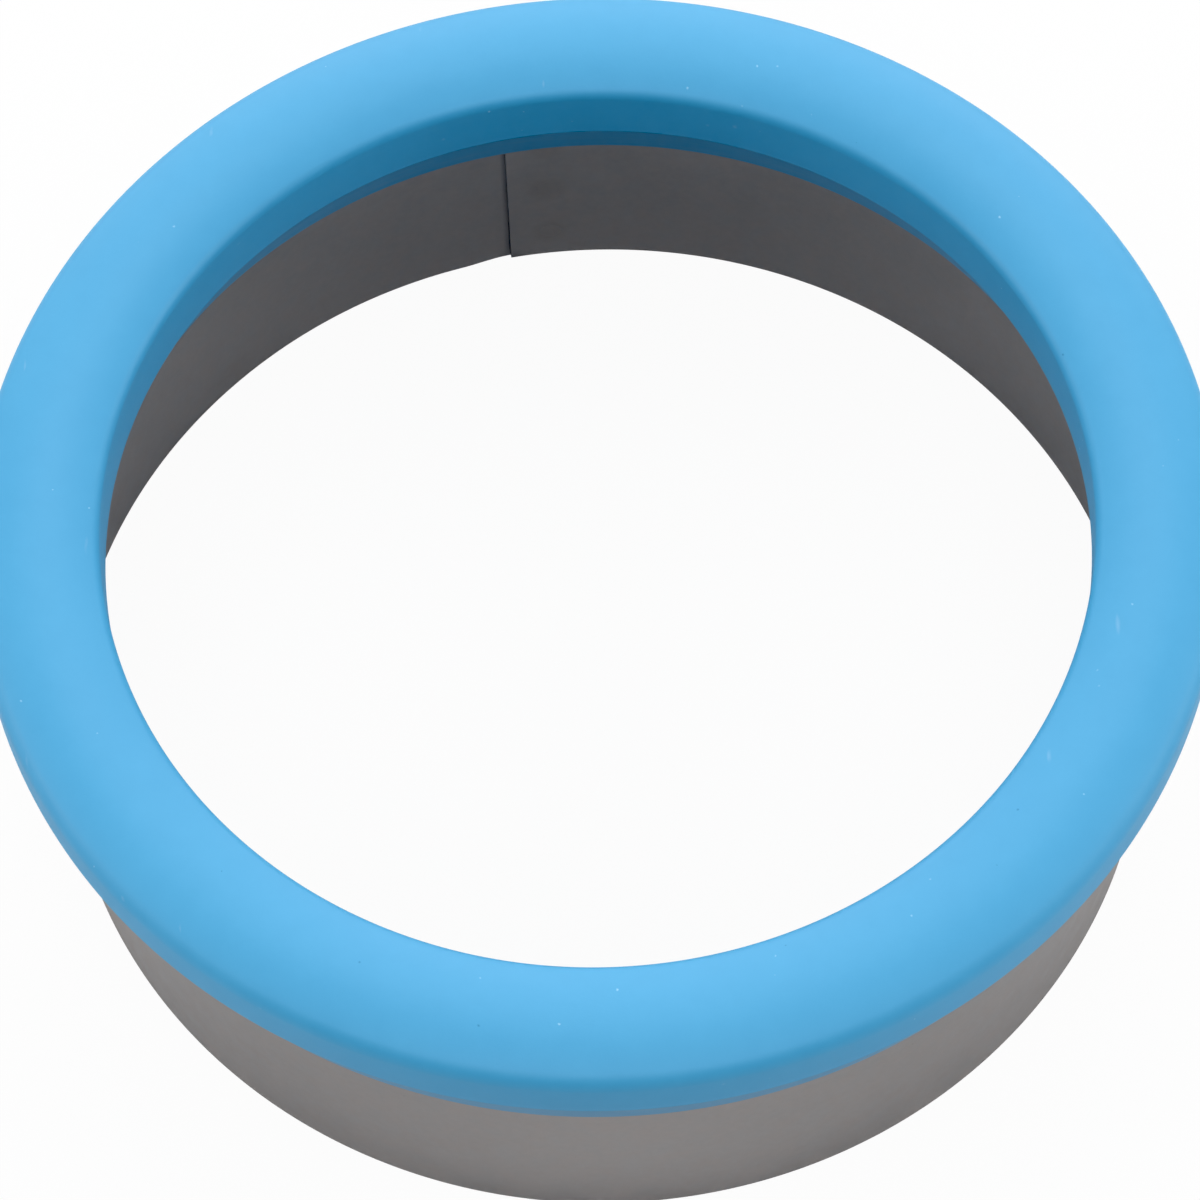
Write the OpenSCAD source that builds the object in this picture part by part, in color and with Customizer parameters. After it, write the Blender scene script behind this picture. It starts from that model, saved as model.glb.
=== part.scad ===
// Round biscuit cutter: a steel strip rolled into a ring, lapped and spot welded,
// with a moulded ring grip along its upper edge. The grip is a firm carrier that
// is locked onto the strip and a soft cushion over the carrier's headed core.
// The cutting edge lies on z = 0 and the ring's axis is the z axis.

/* [Cutter band] */
// Outside diameter of the steel ring
band_d = 101.6; // [60:0.1:140]
// Thickness of the steel strip
strip_t = 0.3; // [0.2:0.05:0.5]
// Free height of the band, from the cutting edge to the underside of the grip
cut_depth = 23; // [15:0.5:50]
// How far the strip reaches up into the grip
strip_grip = 11; // [9:0.25:11.5]
// Direction of the seam line, counterclockwise from +X
seam_a = 100.3; // [0:0.1:359.9]
// Length over which the strip's two ends lie on each other
lap_l = 8; // [5:0.5:12]
// Length of the joggle that steps the strip out behind its other end
joggle_l = 5; // [3:0.5:8]
// How much pressing the joggle thins the strip, on each face
joggle_thin = 0.02; // [0.01:0.01:0.03]

/* [Spot welds] */
// Number of spot welds up the lap
weld_count = 3; // [2:1:4]
// Diameter of a spot weld
weld_d = 2.4; // [1.5:0.1:3]
// Height of the lowest weld above the cutting edge, and of the highest below the grip
weld_margin = 4; // [3:0.5:5]

/* [Grip] */
// How far the grip reaches inwards past the strip
grip_inboard = 6.4; // [5.8:0.1:8]
// How far the grip reaches outwards past the strip
grip_outboard = 4.65; // [4.5:0.05:8]
// Height of the whole grip, from the carrier's foot to the crown of the cushion
grip_h = 15.1; // [14.8:0.1:18]

/* [Grip cushion] */
// Radius of the cushion's upper edges
edge_r = 2.6; // [1.5:0.1:3]
// Rise of the crowned top above the rounded edges
crown_h = 0.6; // [0.3:0.1:1]
// Height of the cushion's upright outer side, below the rounded edge
side_out_h = 3.2; // [2:0.1:3.6]
// Height of the cushion's upright inner side, below the rounded edge
side_in_h = 4.2; // [2:0.1:4.4]
// Thickness of the cushion over the carrier's core
cushion_t = 2.4; // [1.6:0.1:2.6]

/* [Grip carrier] */
// Radius of the carrier's rounded foot
foot_r = 3; // [1.5:0.1:3.2]
// Width of the carrier's foot, where the band comes out
foot_w = 6.9; // [6.5:0.1:8]
// Width of the core's neck inside the cushion
neck_w = 5.6; // [5:0.1:6.2]
// Width of the core's head, which locks the cushion
head_w = 7.2; // [6.6:0.1:8]
// Height of the core's head
head_h = 1.8; // [1:0.1:2.2]
// Number of moulded keys through the strip
key_count = 24; // [12:1:30]
// Diameter of the holes that the keys fill
key_d = 3; // [2:0.1:3.4]
// Height of the keys above the underside of the grip
key_h = 6; // [4:0.1:7]

/* [Fits] */
// Gap between the two layers of the lap
lap_gap = 0.04; // [0.02:0.01:0.1]
// Gap round a weld in the strip
weld_gap = 0.02; // [0.01:0.01:0.05]
// Gap between the strip and the carrier moulded round it
mould_gap = 0.05; // [0.03:0.01:0.1]
// Gap between the cushion and the carrier
bond_gap = 0.05; // [0.03:0.01:0.1]
// How far the carrier's shoulder is set in under the cushion's lip
lip_step = 0.1; // [0.05:0.05:0.3]

/* [Hidden] */

// Ring radii: the band, and the middle and half width of the grip's section
band_r = band_d / 2;
bore_r = band_r - strip_t;
grip_mid_r = (bore_r - grip_inboard + band_r + grip_outboard) / 2;
half_w = (grip_inboard + strip_t + grip_outboard) / 2;

// Heights
grip_top = cut_depth + grip_h;
edge_z = grip_top - crown_h - edge_r;
lip_out_z = edge_z - side_out_h;
lip_in_z = edge_z - side_in_h;
core_top = grip_top - cushion_t;
head_z = core_top - head_h;
strip_top = cut_depth + strip_grip;
key_z = cut_depth + key_h;

// The crown's arc runs into both edge arcs without a kink
crown_r = (pow(half_w - edge_r, 2) + pow(edge_r + crown_h, 2) - pow(edge_r, 2)) / (2 * crown_h);
crown_a = asin((half_w - edge_r) / (crown_r - edge_r));

// Lap: angles along the band
lap_a = lap_l / band_r * 180 / PI;
joggle_a = joggle_l / band_r * 180 / PI;
lap_mid_a = seam_a - lap_a / 2;
lap_step = strip_t + lap_gap;
lap_r = band_r + lap_step;

// Reach of a boring tool past the surfaces that it cuts
over = 1;
// How deep a key's ends are rooted in the carrier on both sides of the strip
key_root = 1;
joggle_steps = 16;
edge_steps = 10;
crown_steps = 12;
foot_steps = 10;
$fn = 180;

// Points of an arc about [x, y] from angle a0 to angle a1
function arc(x, y, r, a0, a1, steps) =
    [for (i = [0:steps]) let (a = a0 + (a1 - a0) * i / steps) [x + r * cos(a), y + r * sin(a)]];

// Step from 0 to 1 with level ends
function ease(t) = t * t * (3 - 2 * t);

function polar(r, a) = [r * cos(a), r * sin(a)];

// Angle from upright of the taper that leaves the lip and runs onto the foot's round
function taper_a(lip_u, lip_z) =
    let (du = lip_u - (foot_w / 2 - foot_r), dz = lip_z - (cut_depth + foot_r))
    atan2(du, dz) - asin(foot_r / norm([du, dz]));

function mirrored(points) = [for (i = [len(points) - 1:-1:0]) [-points[i][0], points[i][1]]];

// Foot round and tapered flank below one lip, from the underside up, for the side u > 0
function flank(lip_z) =
    let (u = half_w - lip_step)
    concat(
        arc(foot_w / 2 - foot_r, cut_depth + foot_r, foot_r, -90, -taper_a(u, lip_z), foot_steps),
        [[u, lip_z - bond_gap]]
    );

// Core that rises from the shoulder of one side, for the side u > 0, grown by a gap
function core_side(lip_z, gap) = [
    [neck_w / 2 + gap, lip_z],
    [neck_w / 2 + gap, head_z - gap],
    [head_w / 2 + gap, head_z - gap],
    [head_w / 2 + gap, core_top + gap]
];

// Cushion's outside on one side, from the lip up to the crown's middle, for u > 0
function cushion_side(lip_z) = concat(
    [[half_w, lip_z]],
    arc(half_w - edge_r, edge_z, edge_r, 0, 90 - crown_a, edge_steps),
    [for (i = [1:crown_steps]) let (a = crown_a * (1 - i / crown_steps))
        [crown_r * sin(a), grip_top - crown_r * (1 - cos(a))]]
);

function without_last(points) = [for (i = [0:len(points) - 2]) points[i]];

// Upright arc of wall between two radii, counterclockwise from one angle
module wall_arc(inner_r, outer_r, start, span, height) {
    rotate([0, 0, start])
        rotate_extrude(angle = span)
            translate([inner_r, 0])
                square([outer_r - inner_r, height]);
}

// Strip bent into a ring: a plain arc, a joggle, and the end that laps outside it
module strip_ring() {
    wall_arc(bore_r, band_r, seam_a + joggle_a, 360 - joggle_a, strip_top);
    wall_arc(bore_r + lap_step, lap_r, seam_a - lap_a, lap_a, strip_top);
    linear_extrude(strip_top)
        polygon(concat(
            joggle_line(bore_r + joggle_thin),
            reversed(joggle_line(band_r - joggle_thin))
        ));
}

// Groove in the carrier: a plain ring, and a pocket outside it for the lap and the joggle.
// The pocket rises a gap above the plain ring's ceiling.
module strip_groove() {
    height = strip_grip + over + mould_gap;
    middle_r = bore_r + strip_t / 2;
    gap_a = mould_gap / band_r * 180 / PI;
    pocket_start = seam_a - lap_a - gap_a;
    pocket_span = lap_a + joggle_a + 2 * gap_a;
    translate([0, 0, cut_depth - over]) {
        wall_arc(bore_r - mould_gap, band_r + mould_gap, 0, 360, height);
        wall_arc(middle_r, lap_r + mould_gap, pocket_start, pocket_span, height + mould_gap);
    }
}

// One face of the joggle, running on by a step into the arc at each end
function joggle_line(r) =
    [for (i = [-1:joggle_steps + 1]) let (t = i / joggle_steps)
        polar(r + lap_step * (1 - ease(min(max(t, 0), 1))), seam_a + joggle_a * t)];

function reversed(points) = [for (i = [len(points) - 1:-1:0]) points[i]];

// A round bar through the wall of the band at one angle and height
module through_wall(d, a, z, inner_r, outer_r) {
    rotate([0, 0, a])
        translate([inner_r, 0, z])
            rotate([0, 90, 0])
                cylinder(d = d, h = outer_r - inner_r, $fn = 32);
}

// The keys stand round the ring from the lap's middle, the welds up the lap's middle
module each_key(d, inner_r, outer_r) {
    for (i = [0:key_count - 1])
        through_wall(d, lap_mid_a + 360 * i / key_count, key_z, inner_r, outer_r);
}

module each_weld(d, inner_r, outer_r) {
    rise = (cut_depth - 2 * weld_margin) / (weld_count - 1);
    for (i = [0:weld_count - 1])
        through_wall(d, lap_mid_a, weld_margin + rise * i, inner_r, outer_r);
}

module cutter_band() {
    color([0.66, 0.66, 0.67])
        difference() {
            strip_ring();
            each_key(key_d, bore_r - over, lap_r + over);
            each_weld(weld_d + 2 * weld_gap, bore_r - over, lap_r + over);
        }
}

module spot_welds() {
    color([0.58, 0.57, 0.56])
        each_weld(weld_d, bore_r, lap_r);
}

module grip_carrier() {
    color([0.20, 0.50, 0.70]) {
        difference() {
            rotate_extrude()
                translate([grip_mid_r, 0])
                    polygon(concat(
                        flank(lip_out_z),
                        core_side(lip_out_z - bond_gap, 0),
                        mirrored(core_side(lip_in_z - bond_gap, 0)),
                        mirrored(flank(lip_in_z))
                    ));
            strip_groove();
        }
        each_key(key_d - 2 * mould_gap, bore_r - key_root, lap_r + key_root);
    }
}

module grip_cushion() {
    color([0.39, 0.72, 0.90])
        rotate_extrude()
            translate([grip_mid_r, 0])
                polygon(concat(
                    cushion_side(lip_out_z),
                    mirrored(without_last(cushion_side(lip_in_z))),
                    reversed(mirrored(core_side(lip_in_z, bond_gap))),
                    reversed(core_side(lip_out_z, bond_gap))
                ));
}

cutter_band();
spot_welds();
grip_carrier();
grip_cushion();
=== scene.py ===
import math

import bmesh
import bpy
from mathutils import Matrix, Vector


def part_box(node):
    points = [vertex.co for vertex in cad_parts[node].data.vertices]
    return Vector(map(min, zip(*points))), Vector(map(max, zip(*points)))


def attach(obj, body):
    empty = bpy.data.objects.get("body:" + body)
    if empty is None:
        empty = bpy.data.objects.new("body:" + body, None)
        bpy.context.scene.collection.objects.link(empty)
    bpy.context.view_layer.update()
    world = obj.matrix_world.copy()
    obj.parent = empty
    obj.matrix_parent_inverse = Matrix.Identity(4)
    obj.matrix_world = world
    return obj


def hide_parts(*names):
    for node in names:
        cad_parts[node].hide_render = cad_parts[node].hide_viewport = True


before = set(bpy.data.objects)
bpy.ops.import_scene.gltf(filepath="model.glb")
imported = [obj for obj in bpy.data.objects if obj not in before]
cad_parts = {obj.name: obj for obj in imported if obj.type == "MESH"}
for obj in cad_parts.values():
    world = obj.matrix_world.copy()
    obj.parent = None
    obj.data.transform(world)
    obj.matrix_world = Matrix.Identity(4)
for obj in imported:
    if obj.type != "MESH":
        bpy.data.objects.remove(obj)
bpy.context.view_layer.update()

# Camera: about half a metre in front of the cutter, looking steeply down into the ring
# through a long lens and rolled a little, so that the ring's left side stands lower.
# It stands a little to the right of the front, which brings the seam to its place.
camera_orbit = math.radians(1.8)
camera_distance = 0.5092
camera_elevation = math.radians(62.53)
camera_tilt_up = math.radians(1.03)
camera_roll = math.radians(2.22)
camera_lens = 161.55
camera_shift_x = -0.0003
camera_shift_y = 0.0047
sensor_width = 36

camera_data = bpy.data.cameras.new("camera")
camera_data.lens = camera_lens
camera_data.sensor_width = sensor_width
camera_data.shift_x = camera_shift_x
camera_data.shift_y = camera_shift_y
camera_data.clip_start = 0.01
camera = bpy.data.objects.new("camera", camera_data)
bpy.context.scene.collection.objects.link(camera)
camera_place = Vector((0, -math.cos(camera_elevation), math.sin(camera_elevation)))
camera.matrix_world = (
    Matrix.Rotation(camera_orbit, 4, "Z")
    @ Matrix.Translation(camera_place * camera_distance)
    @ Matrix.Rotation(math.radians(90) - camera_elevation + camera_tilt_up, 4, "X")
    @ Matrix.Rotation(-camera_roll, 4, "Z")
)
bpy.context.scene.camera = camera


# Grip cushion: a soft rubber ring that is moulded over the carrier's core and is what the
# palm presses on. Its top is gently crowned between two round edges, its sides stand
# upright, and both end in a lip that stands a little proud of the carrier.
cushion_low, cushion_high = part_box("grip_cushion")
section_w = 0.01135
outer_round = 0.0018
inner_round = 0.0012
crown_r = 0.0122
lip_out_up = 0.001
lip_round = 0.00025
core_half_w = 0.0029
round_steps = 12
crown_steps = 20
lip_steps = 4
cushion_out_r = cushion_high.x
cushion_mid_r = cushion_out_r - section_w / 2
half_w = section_w / 2
ring_steps = 288
smooth_up_to = 30


def deselect_all():
    """Nothing is selected and nothing is in edit mode, as before each new primitive."""
    if bpy.context.object and bpy.context.object.mode == "EDIT":
        bpy.ops.object.mode_set(mode="OBJECT")
    bpy.ops.object.select_all(action="DESELECT")


def select_vertices(piece, wanted):
    """In edit mode, selects the vertices whose place passes the test, and nothing else."""
    bpy.ops.mesh.select_mode(type="VERT")
    bpy.ops.mesh.select_all(action="DESELECT")
    mesh = bmesh.from_edit_mesh(piece.data)
    for vertex in mesh.verts:
        vertex.select = wanted(vertex.co)
    mesh.select_flush(True)
    bmesh.update_edit_mesh(piece.data)


def finish_shading(piece):
    """Back in object mode, the piece is shaded smooth up to its true edges."""
    deselect_all()
    piece.select_set(True)
    bpy.context.view_layer.objects.active = piece
    bpy.ops.object.shade_smooth_by_angle(angle=math.radians(smooth_up_to))


def arc(middle_r, middle_z, radius, start, end, steps):
    """Places (r, z) along an arc in the ring's section. Angles are in degrees from outwards."""
    turns = [math.radians(start + (end - start) * i / steps) for i in range(steps + 1)]
    return [(middle_r + radius * math.cos(a), middle_z + radius * math.sin(a)) for a in turns]


def ring_from_section(name, section):
    """A closed ring, made from a plain tube whose upper rim is drawn out round the section."""
    (first_r, first_z), (second_r, second_z) = section[0], section[1]
    tube_h = 0.001
    deselect_all()
    bpy.ops.mesh.primitive_cylinder_add(
        vertices=ring_steps,
        radius=first_r,
        depth=tube_h,
        end_fill_type="NOTHING",
        location=(0, 0, first_z + tube_h / 2),
    )
    ring = bpy.context.object
    ring.name = ring.data.name = name
    bpy.ops.object.transform_apply(location=True)
    bpy.ops.object.mode_set(mode="EDIT")
    select_vertices(ring, lambda v: v.z > first_z + tube_h / 2)
    grow = second_r / first_r
    bpy.ops.transform.resize(value=(grow, grow, 1), center_override=(0, 0, 0))
    bpy.ops.transform.translate(value=(0, 0, second_z - first_z - tube_h))
    last_r, last_z = second_r, second_z
    for next_r, next_z in section[2:]:
        grow = next_r / last_r
        bpy.ops.mesh.extrude_edges_move()
        bpy.ops.transform.resize(value=(grow, grow, 1), center_override=(0, 0, 0))
        bpy.ops.transform.translate(value=(0, 0, next_z - last_z))
        last_r, last_z = next_r, next_z
    bpy.ops.mesh.select_all(action="SELECT")
    bpy.ops.mesh.select_non_manifold(extend=False, use_wire=False, use_multi_face=False)
    bpy.ops.mesh.bridge_edge_loops()
    bpy.ops.mesh.select_all(action="SELECT")
    bpy.ops.mesh.normals_make_consistent(inside=False)
    finish_shading(ring)
    return ring


def edge_round(radius):
    """Height of the middle of an edge's round, and degrees from upright where the crown meets it."""
    aside, slope = half_w - radius, crown_r - radius
    return crown_z + math.sqrt(slope**2 - aside**2), math.degrees(math.asin(aside / slope))


lip_out_z = cushion_low.z + lip_out_up
lip_in_z = cushion_low.z
crown_z = cushion_high.z - crown_r
outer_z, outer_a = edge_round(outer_round)
inner_z, inner_a = edge_round(inner_round)
outer_edge_r = cushion_mid_r + half_w - outer_round
inner_edge_r = cushion_mid_r - half_w + inner_round
outer_lip_r = cushion_mid_r + half_w - lip_round
inner_lip_r = cushion_mid_r - half_w + lip_round

cushion_section = (
    arc(outer_lip_r, lip_out_z + lip_round, lip_round, -90, 0, lip_steps)
    + arc(outer_edge_r, outer_z, outer_round, 0, 90 - outer_a, round_steps)
    + arc(cushion_mid_r, crown_z, crown_r, 90 - outer_a, 90 + inner_a, crown_steps)[1:-1]
    + arc(inner_edge_r, inner_z, inner_round, 90 + inner_a, 180, round_steps)
    + arc(inner_lip_r, lip_in_z + lip_round, lip_round, 180, 270, lip_steps)
    + [(cushion_mid_r - core_half_w, lip_in_z), (cushion_mid_r - core_half_w, lip_out_z)]
    + [(cushion_mid_r + core_half_w, lip_out_z)]
)
cushion = ring_from_section("cushion_ring", cushion_section)
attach(cushion, "root")
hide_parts("grip_cushion")


def new_material(name):
    """A material with its node tree, and the tree's shader."""
    material = bpy.data.materials.new(name)
    material.use_nodes = True
    return material, material.node_tree, material.node_tree.nodes["Principled BSDF"]


def feed(tree, sockets, inputs):
    """Gives each named socket its value, or links it to the output that feeds it."""
    for name, source in inputs.items():
        if isinstance(source, bpy.types.NodeSocket):
            tree.links.new(source, sockets[name])
        else:
            sockets[name].default_value = source


def add_node(tree, kind, inputs=None, **settings):
    """A new node in a tree, with its settings and what goes into its sockets."""
    node = tree.nodes.new("ShaderNode" + kind)
    for name, value in settings.items():
        setattr(node, name, value)
    feed(tree, node.inputs, inputs or {})
    return node


def work_out(tree, operation, *terms, **settings):
    """The value of one piece of arithmetic on its terms."""
    return add_node(tree, "Math", dict(enumerate(terms)), operation=operation, **settings).outputs[0]


def lay_over(tree, share, under, over):
    """The colour of one tone with a share of another laid over it."""
    mix = add_node(tree, "Mix", {"Factor": share, "A": under, "B": over}, data_type="RGBA")
    return mix.outputs["Result"]


def new_group(name, inputs, outputs):
    """An empty node group with float and vector sockets, and its two end nodes."""
    group = bpy.data.node_groups.new(name, "ShaderNodeTree")
    for socket, kind in inputs:
        group.interface.new_socket(socket, in_out="INPUT", socket_type="NodeSocket" + kind)
    for socket, kind in outputs:
        group.interface.new_socket(socket, in_out="OUTPUT", socket_type="NodeSocket" + kind)
    return group, group.nodes.new("NodeGroupInput").outputs, group.nodes.new("NodeGroupOutput").inputs


def use_group(tree, group, inputs):
    """A group placed in a tree, as the outputs that can be linked on."""
    node = tree.nodes.new("ShaderNodeGroup")
    node.node_tree = group
    feed(tree, node.inputs, inputs)
    return node.outputs


# Mottle: soft cloudy unevenness round one half, as on any surface that is not quite even
mottle, given, result = new_group(
    "mottle", [("Vector", "Vector"), ("Scale", "Float"), ("Contrast", "Float")], [("Shade", "Float")]
)
clouds = add_node(
    mottle,
    "TexNoise",
    {"Vector": given["Vector"], "Scale": given["Scale"], "Detail": 5, "Roughness": 0.55},
)
from_half = work_out(mottle, "SUBTRACT", clouds.outputs["Fac"], 0.5)
spread = work_out(mottle, "MULTIPLY", from_half, given["Contrast"])
shade = work_out(mottle, "ADD", spread, 0.5, use_clamp=True)
feed(mottle, result, {"Shade": shade})

# Marks: small ragged spots, in a share of the cells of a scattered grid. The raggedness is
# several times finer than the grid, and the marks differ in size.
ragged_fineness = 6
ragged_reach = 0.12
smallest_mark = 0.35
marks, given, result = new_group(
    "marks",
    [("Vector", "Vector"), ("Scale", "Float"), ("Share", "Float"), ("Size", "Float")],
    [("Mask", "Float")],
)
ragged_scale = work_out(marks, "MULTIPLY", given["Scale"], ragged_fineness)
ragged = add_node(marks, "TexNoise", {"Vector": given["Vector"], "Scale": ragged_scale})
reach = work_out(marks, "DIVIDE", ragged_reach, given["Scale"])
pushed = add_node(
    marks, "VectorMath", {0: ragged.outputs["Color"], "Scale": reach}, operation="SCALE"
)
moved = add_node(marks, "VectorMath", {0: given["Vector"], 1: pushed.outputs[0]}, operation="ADD")
cells = add_node(marks, "TexVoronoi", {"Vector": moved.outputs[0], "Scale": given["Scale"]})
lot = add_node(marks, "SeparateColor", {"Color": cells.outputs["Color"]})
picked = work_out(marks, "LESS_THAN", lot.outputs["Red"], given["Share"])
own_size = add_node(
    marks, "MapRange", {"Value": lot.outputs["Green"], "To Min": smallest_mark, "To Max": 1}
)
edge = work_out(marks, "MULTIPLY", own_size.outputs[0], given["Size"])
spot = add_node(
    marks,
    "MapRange",
    {"Value": cells.outputs["Distance"], "From Min": 0, "From Max": edge, "To Min": 1, "To Max": 0},
    interpolation_type="SMOOTHSTEP",
)
mask = work_out(marks, "MULTIPLY", spot.outputs[0], picked)
feed(marks, result, {"Mask": mask})

# Grain: fine relief of a given depth in metres
grain, given, result = new_group(
    "grain",
    [("Vector", "Vector"), ("Scale", "Float"), ("Depth", "Float"), ("Normal", "Vector")],
    [("Normal", "Vector")],
)
pits = add_node(
    grain,
    "TexNoise",
    {"Vector": given["Vector"], "Scale": given["Scale"], "Detail": 4, "Roughness": 0.6},
)
relief = add_node(
    grain,
    "Bump",
    {
        "Height": pits.outputs["Fac"],
        "Distance": given["Depth"],
        "Normal": given["Normal"],
        "Strength": 1,
    },
)
feed(grain, result, {"Normal": relief.outputs["Normal"]})

# The rubber: an even blue with a matte, slightly silky skin, a few specks of dust and nicks,
# and faint scuffs that are drawn out from front to back
rubber_light = (0.099, 0.386, 0.655, 1)
rubber_deep = (0.087, 0.354, 0.616, 1)
rubber_rough = (0.5, 0.57)
dust_tone = (0.34, 0.62, 0.82, 1)
scuff_tone = (0.26, 0.50, 0.72, 1)
scuff_strength = 0.5
nick_tone = (0.04, 0.22, 0.44, 1)
cushion_material, tree, rubber = new_material("soft_touch_blue")
place = add_node(tree, "TexCoord").outputs["Object"]
broad = use_group(tree, mottle, {"Vector": place, "Scale": 45, "Contrast": 2.2})
blotch = use_group(tree, mottle, {"Vector": place, "Scale": 420, "Contrast": 1.6})
both = work_out(tree, "ADD", broad["Shade"], blotch["Shade"])
share = work_out(tree, "MULTIPLY", both, 0.5)
skin = lay_over(tree, share, rubber_deep, rubber_light)
dust = use_group(tree, marks, {"Vector": place, "Scale": 600, "Share": 0.2, "Size": 0.11})
dusty = lay_over(tree, dust["Mask"], skin, dust_tone)
drawn_out = add_node(tree, "Mapping", {"Vector": place, "Scale": (1, 0.22, 1)})
scuffs = use_group(
    tree, marks, {"Vector": drawn_out.outputs[0], "Scale": 420, "Share": 0.5, "Size": 0.14}
)
faint = work_out(tree, "MULTIPLY", scuffs["Mask"], scuff_strength)
scuffed = lay_over(tree, faint, dusty, scuff_tone)
nicks = use_group(tree, marks, {"Vector": place, "Scale": 500, "Share": 0.06, "Size": 0.09})
nicked = lay_over(tree, nicks["Mask"], scuffed, nick_tone)
silk = add_node(
    tree,
    "MapRange",
    {"Value": broad["Shade"], "To Min": rubber_rough[0], "To Max": rubber_rough[1]},
)
waves = use_group(tree, grain, {"Vector": place, "Scale": 140, "Depth": 0.00003})
fine = use_group(
    tree, grain, {"Vector": place, "Normal": waves["Normal"], "Scale": 5200, "Depth": 0.000005}
)
feed(
    tree,
    rubber.inputs,
    {
        "Base Color": nicked,
        "Roughness": silk.outputs[0],
        "Specular IOR Level": 0.5,
        "Normal": fine["Normal"],
    },
)
cushion.data.materials.append(cushion_material)


# Grip carrier: a firm moulded ring under the cushion. Its flanks taper to a rounded foot,
# where the steel comes out of a narrow groove, and its core stands up inside the cushion.
carrier_low, carrier_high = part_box("grip_carrier")
foot_w = 0.0069
foot_r = 0.003
outer_foot_steps = 10
inner_foot_steps = 12
lip_step = 0.0001
neck_w = 0.0056
shoulder_gap = 0.00001
groove_depth = 0.008
band_r = 0.0508
strip_t = 0.0003
groove_gap = 0.00005


def taper_angle(lip_z):
    """Degrees from upright of the flank that leaves the shoulder and runs onto the foot's round."""
    across = half_w - lip_step - (foot_w / 2 - foot_r)
    up = lip_z - (carrier_low.z + foot_r)
    return math.degrees(math.atan2(across, up) - math.asin(foot_r / math.hypot(across, up)))


foot_z = carrier_low.z + foot_r
outer_foot_r = cushion_mid_r + foot_w / 2 - foot_r
inner_foot_r = cushion_mid_r - foot_w / 2 + foot_r
groove_out_r = band_r + groove_gap
groove_in_r = band_r - strip_t - groove_gap
groove_top = carrier_low.z + groove_depth


def foot_height(r):
    """Height of the foot's rounded underside at a distance from the ring's axis."""
    past = max(r - outer_foot_r, 0)
    return foot_z - math.sqrt(foot_r**2 - past**2)


taper_out = taper_angle(lip_out_z)
taper_in = taper_angle(lip_in_z)
groove_out_turn = math.degrees(math.acos((groove_out_r - outer_foot_r) / foot_r))
carrier_section = (
    [(groove_out_r, groove_top), (groove_out_r, foot_height(groove_out_r))]
    + arc(outer_foot_r, foot_z, foot_r, -groove_out_turn, -taper_out, outer_foot_steps)[1:]
    + [(cushion_mid_r + half_w - lip_step, lip_out_z - shoulder_gap)]
    + [(cushion_mid_r + neck_w / 2, lip_out_z - shoulder_gap)]
    + [(cushion_mid_r + neck_w / 2, carrier_high.z)]
    + [(cushion_mid_r - neck_w / 2, carrier_high.z)]
    + [(cushion_mid_r - neck_w / 2, lip_in_z - shoulder_gap)]
    + [(cushion_mid_r - half_w + lip_step, lip_in_z - shoulder_gap)]
    + arc(inner_foot_r, foot_z, foot_r, 180 + taper_in, 270, inner_foot_steps)
    + [(groove_in_r, foot_height(groove_in_r)), (groove_in_r, groove_top)]
)
carrier = ring_from_section("carrier_ring", carrier_section)

# The groove is wider where the strip's two ends lie on each other
seam_a = math.radians(100.3)
joggle_l = 0.005
lap_l = 0.008
lap_gap = 0.00004
joggle_a = joggle_l / band_r
lap_a = lap_l / band_r
lap_step = strip_t + lap_gap
pocket_room = math.radians(0.6)
pocket_start = seam_a - lap_a - pocket_room
pocket_end = seam_a + joggle_a
pocket_grow = (groove_out_r + lap_step) / groove_out_r
wall_reach = 0.00002


def in_pocket(place):
    """True for the outer wall of the groove, along the lap and the joggle."""
    turn = math.atan2(place.y, place.x)
    wall = abs(math.hypot(place.x, place.y) - groove_out_r) < wall_reach
    return wall and pocket_start < turn < pocket_end


bpy.ops.object.mode_set(mode="EDIT")
select_vertices(carrier, in_pocket)
bpy.ops.transform.resize(value=(pocket_grow, pocket_grow, 1), center_override=(0, 0, 0))
finish_shading(carrier)
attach(carrier, "root")
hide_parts("grip_carrier")

# The plastic: a firmer blue with faint flow lines round the ring and the mould's fine texture
plastic_light = (0.100, 0.325, 0.550, 1)
plastic_deep = (0.088, 0.298, 0.505, 1)
plastic_rough = (0.44, 0.54)
carrier_material, tree, plastic = new_material("moulded_blue")
place = add_node(tree, "TexCoord").outputs["Object"]
flow = add_node(tree, "Mapping", {"Vector": place, "Scale": (1, 1, 9)})
lines = use_group(tree, mottle, {"Vector": flow.outputs[0], "Scale": 130, "Contrast": 1.8})
hue = lay_over(tree, lines["Shade"], plastic_deep, plastic_light)
nicks = use_group(tree, marks, {"Vector": place, "Scale": 500, "Share": 0.05, "Size": 0.08})
nicked = lay_over(tree, nicks["Mask"], hue, nick_tone)
gloss = add_node(
    tree,
    "MapRange",
    {"Value": lines["Shade"], "To Min": plastic_rough[0], "To Max": plastic_rough[1]},
)
texture = use_group(tree, grain, {"Vector": place, "Scale": 3800, "Depth": 0.000006})
feed(
    tree,
    plastic.inputs,
    {"Base Color": nicked, "Roughness": gloss.outputs[0], "Normal": texture["Normal"]},
)
carrier.data.materials.append(carrier_material)


# Cutter band: a strip of stainless steel, rolled into a ring. One end is joggled outwards by
# its own thickness and runs on behind the other end, so that the inside stays flush.
band_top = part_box("cutter_band")[1].z
band_steps = 576
joggle_steps = 24
lap_steps = 14
burr = 0.00004


def ease(t):
    """A step from 0 to 1 with level ends."""
    return t * t * (3 - 2 * t)


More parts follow.
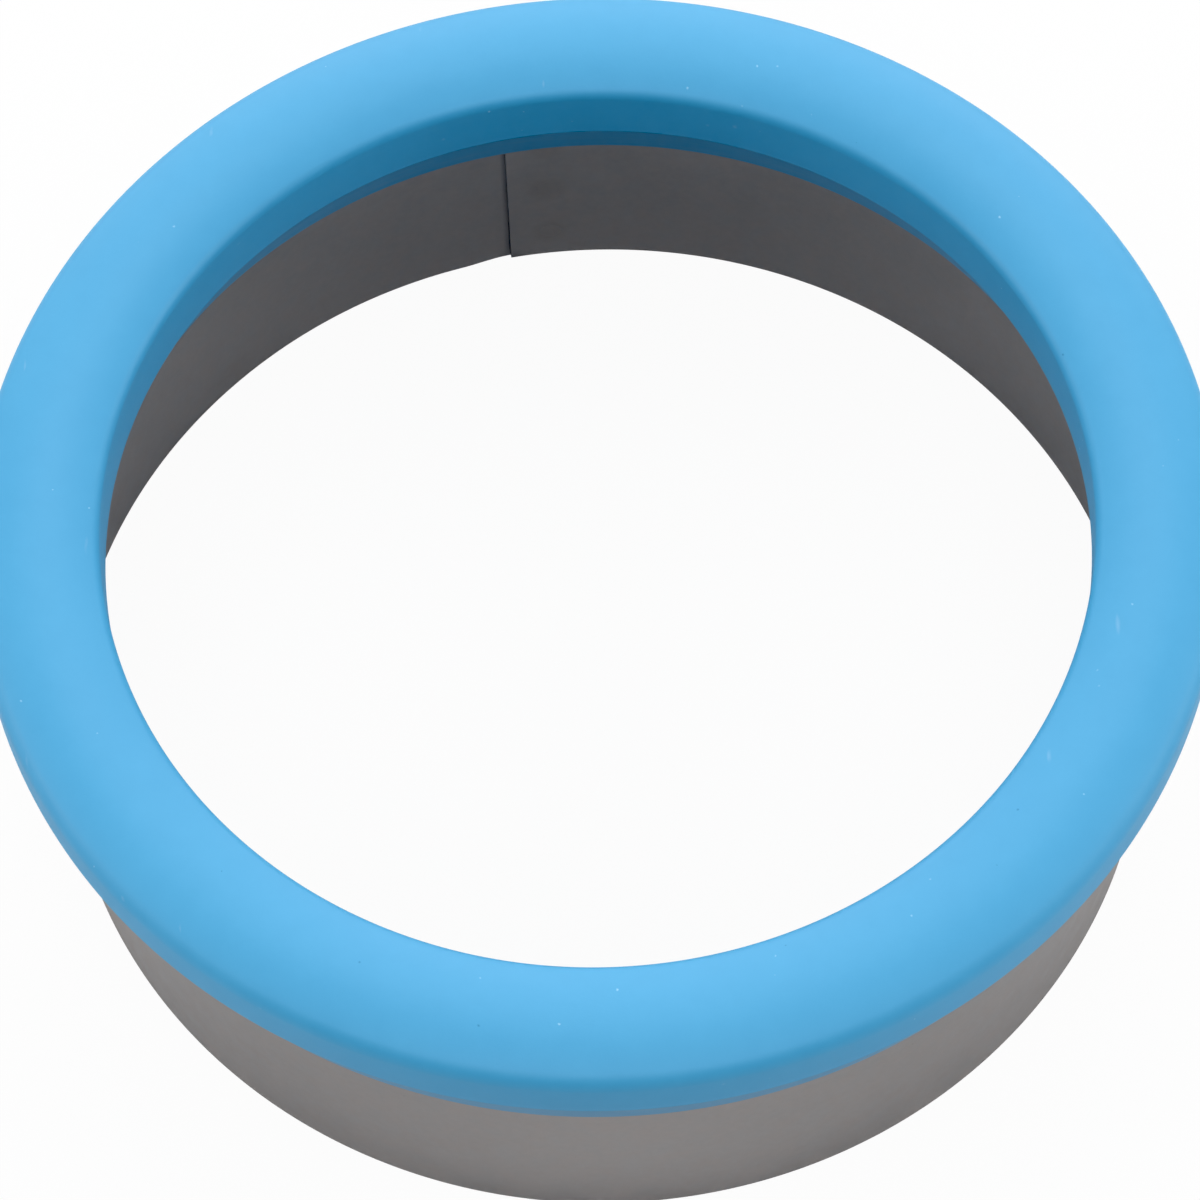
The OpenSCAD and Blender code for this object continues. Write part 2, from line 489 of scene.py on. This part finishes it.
deselect_all()
strip_mid_r = band_r - strip_t / 2
bpy.ops.mesh.primitive_plane_add(
    size=1, location=(strip_mid_r, 0, band_top / 2), rotation=(math.radians(90), 0, 0)
)
band = bpy.context.object
band.name = band.data.name = "steel_band"
bpy.ops.object.transform_apply(location=True, rotation=True)
bpy.ops.object.mode_set(mode="EDIT")
bpy.ops.transform.resize(
    value=(strip_t, 1, band_top), center_override=(strip_mid_r, 0, band_top / 2)
)
bpy.ops.mesh.bevel(offset=burr, segments=2, affect="VERTICES")
bpy.ops.mesh.select_all(action="SELECT")

# The strip's section stands at the seam first and is then spun round the long way, out
# through the joggle and along the lap
bpy.ops.transform.rotate(value=-seam_a, orient_axis="Z", center_override=(0, 0, 0))
bpy.ops.mesh.spin(
    steps=band_steps, angle=2 * math.pi - joggle_a, center=(0, 0, 0), axis=(0, 0, 1)
)
for step in range(joggle_steps):
    bpy.ops.mesh.spin(steps=1, angle=joggle_a / joggle_steps, center=(0, 0, 0), axis=(0, 0, 1))
    turned = seam_a + joggle_a * (1 - (step + 1) / joggle_steps)
    push = lap_step * (ease((step + 1) / joggle_steps) - ease(step / joggle_steps))
    bpy.ops.transform.translate(value=(push * math.cos(turned), push * math.sin(turned), 0))
bpy.ops.mesh.spin(steps=lap_steps, angle=lap_a, center=(0, 0, 0), axis=(0, 0, 1))
bpy.ops.mesh.select_all(action="SELECT")
bpy.ops.mesh.remove_doubles(threshold=0.000005)
bpy.ops.mesh.normals_make_consistent(inside=False)
finish_shading(band)
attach(band, "root")
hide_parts("cutter_band")

lap_mid_a = seam_a - lap_a / 2
lap_end_a = seam_a - lap_a
weld_low, weld_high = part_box("spot_welds")
weld_count = 3
weld_r = 0.0012
weld_in_r = band_r - strip_t
weld_first_z = weld_low.z + weld_r
weld_rise = (weld_high.z - weld_low.z - 2 * weld_r) / (weld_count - 1)


def aside_and_outward(tree, place, angle):
    """How far a place lies beside one direction from the axis, and how far out along it."""
    beside = add_node(
        tree,
        "VectorMath",
        {0: place, 1: (-math.sin(angle), math.cos(angle), 0)},
        operation="DOT_PRODUCT",
    )
    outward = add_node(
        tree,
        "VectorMath",
        {0: place, 1: (math.cos(angle), math.sin(angle), 0)},
        operation="DOT_PRODUCT",
    )
    return beside.outputs["Value"], outward.outputs["Value"]


# Distance from the axis of the nearest weld, for the tint round it and the dish in it
weld_field, given, result = new_group("weld_field", [("Vector", "Vector")], [("Distance", "Float")])
aside, outward = aside_and_outward(weld_field, given["Vector"], lap_mid_a)
across = work_out(weld_field, "LESS_THAN", outward, 0)
axes = add_node(weld_field, "SeparateXYZ", {"Vector": given["Vector"]})
level = work_out(weld_field, "SUBTRACT", axes.outputs["Z"], weld_first_z)
step_up = work_out(weld_field, "DIVIDE", level, weld_rise)
nearest = work_out(weld_field, "ROUND", step_up)
past = work_out(weld_field, "SUBTRACT", step_up, nearest)
above = work_out(weld_field, "MULTIPLY", past, weld_rise)
flat = add_node(weld_field, "CombineXYZ", {"X": aside, "Y": above, "Z": across})
away = add_node(weld_field, "VectorMath", {0: flat.outputs[0]}, operation="LENGTH")
feed(weld_field, result, {"Distance": away.outputs["Value"]})

# Painted shade in the corner beside the strip's inner end, a little wider towards the cutting edge
seam_shade_start = -0.00012
seam_shade_full = 0.0001
seam_shade_thin = 0.0003
seam_shade_end = 0.0007
seam_shade_top = 0.7
seam_shade_inside_r = 0.05095
seam_field, given, result = new_group("seam_field", [("Vector", "Vector")], [("Mask", "Float")])
beside, outward = aside_and_outward(seam_field, given["Vector"], seam_a)
axes = add_node(seam_field, "SeparateXYZ", {"Vector": given["Vector"]})
slimmer = add_node(
    seam_field,
    "MapRange",
    {"Value": axes.outputs["Z"], "From Max": carrier_low.z, "To Min": 1, "To Max": 1 / seam_shade_top},
)
widened = work_out(seam_field, "MULTIPLY", beside, slimmer.outputs[0])
begins = add_node(
    seam_field, "MapRange", {"Value": beside, "From Min": seam_shade_start, "From Max": seam_shade_full}
)
fades = add_node(
    seam_field,
    "MapRange",
    {"Value": widened, "From Min": seam_shade_thin, "From Max": seam_shade_end, "To Min": 1, "To Max": 0},
)
this_side = work_out(seam_field, "GREATER_THAN", outward, 0)
inside = work_out(seam_field, "LESS_THAN", outward, seam_shade_inside_r)
band_of_it = work_out(seam_field, "MULTIPLY", begins.outputs[0], fades.outputs[0])
near_side = work_out(seam_field, "MULTIPLY", band_of_it, this_side)
painted_seam_shade_mask = work_out(seam_field, "MULTIPLY", near_side, inside)
feed(seam_field, result, {"Mask": painted_seam_shade_mask})

# Painted shade on the outside, in the corner before the strip's outer end
lap_shade_reach = -0.0004
outside_r = 0.05065
lap_field, given, result = new_group("lap_field", [("Vector", "Vector")], [("Mask", "Float")])
before, outward = aside_and_outward(lap_field, given["Vector"], lap_end_a)
gathers = add_node(
    lap_field,
    "MapRange",
    {"Value": before, "From Min": lap_shade_reach, "From Max": 0, "To Min": 0, "To Max": 1},
    interpolation_type="SMOOTHSTEP",
)
not_lapped = work_out(lap_field, "LESS_THAN", before, strip_t / 10)
outside = work_out(lap_field, "GREATER_THAN", outward, outside_r)
corner = work_out(lap_field, "MULTIPLY", gathers.outputs[0], not_lapped)
painted_lap_shade_mask = work_out(lap_field, "MULTIPLY", corner, outside)
feed(lap_field, result, {"Mask": painted_lap_shade_mask})

# The steel: cold rolled, with a dull grain along the strip, cloudy wear, small dark specks,
# painted shade round the seam's foot and in the corners beside both ends of the strip, and a faint
# tint where the welds heated it
steel_light = (0.440, 0.412, 0.402, 1)
steel_deep = (0.360, 0.337, 0.329, 1)
steel_warm = (0.414, 0.372, 0.352, 1)
steel_cool = (0.380, 0.375, 0.375, 1)
steel_rough = (0.36, 0.45)
cast_share = 0.35
speck_tone = (0.16, 0.15, 0.15, 1)
tint_tone = (0.30, 0.255, 0.20, 1)
tint_strength = 0.14
tint_inner = 0.0012
tint_outer = 0.0024
# Painted shade round the seam's foot
painted_foot_shade_tone = (0.19, 0.18, 0.185, 1)
foot_shade_strength = 0.6
foot_shade_reach = 0.0016
# Painted shade tone for the corner beside the strip's inner end
painted_seam_shade_tone = (0.322, 0.308, 0.305, 1)
# Painted shade tone for the corner before the strip's outer end
painted_lap_shade_tone = (0.2, 0.192, 0.19, 1)
seam_foot = (weld_in_r * math.cos(seam_a), weld_in_r * math.sin(seam_a), 0)


def steel_surface(tree, shader, place, normal=None):
    """Wires the look of the rolled strip into a metal shader."""
    cloudy = use_group(tree, mottle, {"Vector": place, "Scale": 260, "Contrast": 4})
    wear = use_group(tree, mottle, {"Vector": place, "Scale": 1300, "Contrast": 1.6})
    tone = work_out(tree, "ADD", cloudy["Shade"], wear["Shade"])
    half = work_out(tree, "MULTIPLY", tone, 0.5)
    grey = lay_over(tree, half, steel_deep, steel_light)
    patches = use_group(tree, mottle, {"Vector": place, "Scale": 520, "Contrast": 3})
    cast = lay_over(tree, patches["Shade"], steel_cool, steel_warm)
    toned = lay_over(tree, cast_share, grey, cast)
    specks = use_group(tree, marks, {"Vector": place, "Scale": 400, "Share": 0.15, "Size": 0.06})
    specked = lay_over(tree, specks["Mask"], toned, speck_tone)
    field = use_group(tree, weld_field, {"Vector": place})
    heat = add_node(
        tree,
        "MapRange",
        {
            "Value": field["Distance"],
            "From Min": tint_inner,
            "From Max": tint_outer,
            "To Min": tint_strength,
            "To Max": 0,
        },
        interpolation_type="SMOOTHSTEP",
    )
    tinted = lay_over(tree, heat.outputs[0], specked, tint_tone)
    # Painted shade: darker round the foot of the seam
    from_foot = add_node(tree, "VectorMath", {0: place, 1: seam_foot}, operation="DISTANCE")
    foot_shade = add_node(
        tree,
        "MapRange",
        {
            "Value": from_foot.outputs["Value"],
            "From Min": 0,
            "From Max": foot_shade_reach,
            "To Min": foot_shade_strength,
            "To Max": 0,
        },
        interpolation_type="SMOOTHSTEP",
    )
    foot_shaded = lay_over(tree, foot_shade.outputs[0], tinted, painted_foot_shade_tone)
    # Painted shade in the corner beside the strip's inner end
    seam_shade = use_group(tree, seam_field, {"Vector": place})
    seam_shaded = lay_over(tree, seam_shade["Mask"], foot_shaded, painted_seam_shade_tone)
    # Painted shade in the corner before the strip's outer end
    lap_shade = use_group(tree, lap_field, {"Vector": place})
    lap_shaded = lay_over(tree, lap_shade["Mask"], seam_shaded, painted_lap_shade_tone)
    dull = add_node(
        tree,
        "MapRange",
        {"Value": cloudy["Shade"], "To Min": steel_rough[0], "To Max": steel_rough[1]},
    )
    along = add_node(tree, "Mapping", {"Vector": place, "Scale": (1, 1, 60)})
    rolled_inputs = {"Vector": along.outputs[0], "Scale": 110, "Depth": 0.0000012}
    if normal:
        rolled_inputs["Normal"] = normal
    rolled = use_group(tree, grain, rolled_inputs)
    buckle = use_group(
        tree, grain, {"Vector": place, "Normal": rolled["Normal"], "Scale": 90, "Depth": 0.00004}
    )
    feed(
        tree,
        shader.inputs,
        {
            "Base Color": lap_shaded,
            "Roughness": dull.outputs[0],
            "Normal": buckle["Normal"],
            "Metallic": 1,
        },
    )


steel_material, tree, steel = new_material("stainless_strip")
steel_surface(tree, steel, add_node(tree, "TexCoord").outputs["Object"])
band.data.materials.append(steel_material)


# Spot welds: three nuggets fused through both layers of the lap, one above the other. The
# round electrodes leave each with a slightly raised rim round a shallow dish on both faces.
weld_sides = 48
weld_rings = (
    (0.0012, -0.000006),
    (0.00114, 0.000003),
    (0.001, 0.000009),
    (0.00085, 0.000008),
    (0.00055, 0.000005),
    (0, 0.000005),
)
ring_reach = 0.00001
end_facing = 0.9
weld_out_r = band_r + lap_step
weld_line = Vector((math.cos(lap_mid_a), math.sin(lap_mid_a), 0))


def cast_ring(piece, middle, side, ring_r, radius):
    """Bends one ring of a weld's end onto a cylinder round the cutter's axis."""
    chosen = []
    for vertex in piece.data.vertices:
        offset = vertex.co - middle
        along = offset.dot(weld_line)
        aside = (offset - weld_line * along).length
        if along * side > 0 and abs(aside - ring_r) < ring_reach:
            chosen.append(vertex.index)
    group = piece.vertex_groups.new(name="ring")
    group.add(chosen, 1, "REPLACE")
    bpy.ops.object.modifier_add(type="CAST")
    cast = piece.modifiers[-1]
    cast.cast_type = "CYLINDER"
    cast.use_z = False
    cast.use_radius_as_size = False
    cast.factor = 1
    cast.size = radius
    cast.vertex_group = group.name
    bpy.ops.object.modifier_apply(modifier=cast.name)
    piece.vertex_groups.clear()


# The nuggets have the strip's own surface, pressed into a dish by the electrodes
dish_depth = 0.00002
dish_floor_r = weld_r * 0.3
dish_rim_r = weld_r * 0.95
weld_material, tree, weld_steel = new_material("weld_steel")
place = add_node(tree, "TexCoord").outputs["Object"]
field = use_group(tree, weld_field, {"Vector": place})
dish = add_node(
    tree,
    "MapRange",
    {
        "Value": field["Distance"],
        "From Min": dish_floor_r,
        "From Max": dish_rim_r,
        "To Min": 0,
        "To Max": 1,
    },
    interpolation_type="SMOOTHERSTEP",
)
pressed = add_node(
    tree, "Bump", {"Height": dish.outputs[0], "Strength": 1, "Distance": dish_depth}
)
steel_surface(tree, weld_steel, place, pressed.outputs["Normal"])

for step in range(weld_count):
    deselect_all()
    middle = weld_line * (weld_in_r + weld_out_r) / 2
    middle.z = weld_first_z + weld_rise * step
    bpy.ops.mesh.primitive_cylinder_add(
        vertices=weld_sides,
        radius=weld_r,
        depth=weld_out_r - weld_in_r,
        location=middle,
        rotation=(0, math.radians(90), lap_mid_a),
    )
    nugget = bpy.context.object
    nugget.name = nugget.data.name = "weld_%d" % (step + 1)
    bpy.ops.object.transform_apply(location=True, rotation=True)
    bpy.ops.object.mode_set(mode="EDIT")
    bpy.ops.mesh.select_mode(type="FACE")
    bpy.ops.mesh.select_all(action="DESELECT")
    ends = bmesh.from_edit_mesh(nugget.data)
    for face in ends.faces:
        face.select = abs(face.normal.dot(weld_line)) > end_facing
    bmesh.update_edit_mesh(nugget.data)
    for (outer_edge, _), (inner_edge, _) in zip(weld_rings, weld_rings[1:-1]):
        bpy.ops.mesh.inset(thickness=outer_edge - inner_edge, depth=0)
    bpy.ops.mesh.poke()
    bpy.ops.object.mode_set(mode="OBJECT")
    for ring_r, rise in weld_rings:
        cast_ring(nugget, middle, -1, ring_r, weld_in_r - rise)
        cast_ring(nugget, middle, 1, ring_r, weld_out_r + rise)
    finish_shading(nugget)
    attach(nugget, "root")
    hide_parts("spot_welds")
    nugget.data.materials.append(weld_material)


# Setting: a plain pale floor in a small studio. Two soft boxes hang high, behind and in front,
# a wide low one stands behind the cutter and one stands on each side. The camera sees the
# floor nearly evenly lit, as on a light table.
floor_side = 20


def soft_light(name, elevation, azimuth, distance, width, depth, watts):
    """A rectangular area light that faces the cutter. Azimuth is in degrees from the back."""
    up, turn = math.radians(elevation), math.radians(azimuth)
    data = bpy.data.lights.new(name, "AREA")
    data.shape = "RECTANGLE"
    data.size = width
    data.size_y = depth
    data.energy = watts
    light = bpy.data.objects.new(name, data)
    bpy.context.scene.collection.objects.link(light)
    place = Vector((math.cos(up) * math.sin(turn), math.cos(up) * math.cos(turn), math.sin(up)))
    light.location = place * distance
    light.rotation_euler = (-place).to_track_quat("-Z", "Y").to_euler()


soft_light("top_back", 64, 0, 1.2, 0.7, 0.7, 4.5)
soft_light("top_front", 60, 180, 1.2, 0.7, 0.6, 5.4)
soft_light("low_back", 23, 0, 1.45, 2.2, 0.6, 15.2)
soft_light("left", 30, 270, 1.2, 0.8, 0.5, 6.0)
soft_light("right", 30, 90, 1.2, 0.8, 0.5, 6.5)

deselect_all()
bpy.ops.mesh.primitive_plane_add(size=floor_side)
floor = bpy.context.object
floor.name = "floor"

# The floor: pale and matte with a fine tooth. Outside the ring it glows a little as painted light,
# with the glow left out inside the ring as painted shade from the ring; what the camera sees of it
# is mostly even white.
white = (1, 1, 1, 1)
floor_light = (0.72, 0.72, 0.72, 1)
floor_dim = (0.70, 0.70, 0.70, 1)
painted_floor_light = 0.05
glow_start = band_r * 0.97
glow_full = band_r * 1.03
seen_strength = 1
seen_share = 0.95
floor_material, tree, floor_shader = new_material("pale_floor")
place = add_node(tree, "TexCoord").outputs["Object"]
sheet_tone = use_group(tree, mottle, {"Vector": place, "Scale": 12, "Contrast": 2})
tone = lay_over(tree, sheet_tone["Shade"], floor_dim, floor_light)
tooth = use_group(tree, grain, {"Vector": place, "Scale": 1500, "Depth": 0.00001})
from_axis = add_node(tree, "VectorMath", {0: place}, operation="LENGTH")
# Painted light: the floor glows outside the ring, and the glow is left out inside it as painted shade
# from the ring
ring_shaded_glow = add_node(
    tree,
    "MapRange",
    {
        "Value": from_axis.outputs["Value"],
        "From Min": glow_start,
        "From Max": glow_full,
        "To Min": 0,
        "To Max": painted_floor_light,
    },
)
feed(
    tree,
    floor_shader.inputs,
    {
        "Base Color": tone,
        "Roughness": 0.9,
        "Normal": tooth["Normal"],
        "Emission Color": white,
        "Emission Strength": ring_shaded_glow.outputs[0],
    },
)
path = add_node(tree, "LightPath")
even = work_out(tree, "MULTIPLY", path.outputs["Is Camera Ray"], seen_share)
glow = add_node(tree, "Emission", {"Strength": seen_strength})
seen = add_node(
    tree,
    "MixShader",
    {"Fac": even, 1: floor_shader.outputs["BSDF"], 2: glow.outputs["Emission"]},
)
feed(tree, tree.nodes["Material Output"].inputs, {"Surface": seen.outputs["Shader"]})
floor.data.materials.append(floor_material)

# The room lights the cutter dimly, and is as white to the camera as the floor
room_light = 0.085
world = bpy.data.worlds.new("room")
bpy.context.scene.world = world
world.use_nodes = True
room = world.node_tree
dim = room.nodes["Background"]
feed(room, dim.inputs, {"Color": white, "Strength": room_light})
backdrop = add_node(room, "Background", {"Color": white, "Strength": seen_strength})
path = add_node(room, "LightPath")
far_side = add_node(
    room,
    "MixShader",
    {"Fac": path.outputs["Is Camera Ray"], 1: dim.outputs[0], 2: backdrop.outputs[0]},
)
feed(room, room.nodes["World Output"].inputs, {"Surface": far_side.outputs["Shader"]})

# Picture: plain colours, with the black point a little raised, as in a retouched photograph.
black_point = (0.0495, 0.046, 0.0425)
colours = bpy.context.scene.view_settings
colours.view_transform = "Standard"
colours.use_curve_mapping = True
colours.curve_mapping.black_level = black_point
colours.curve_mapping.update()
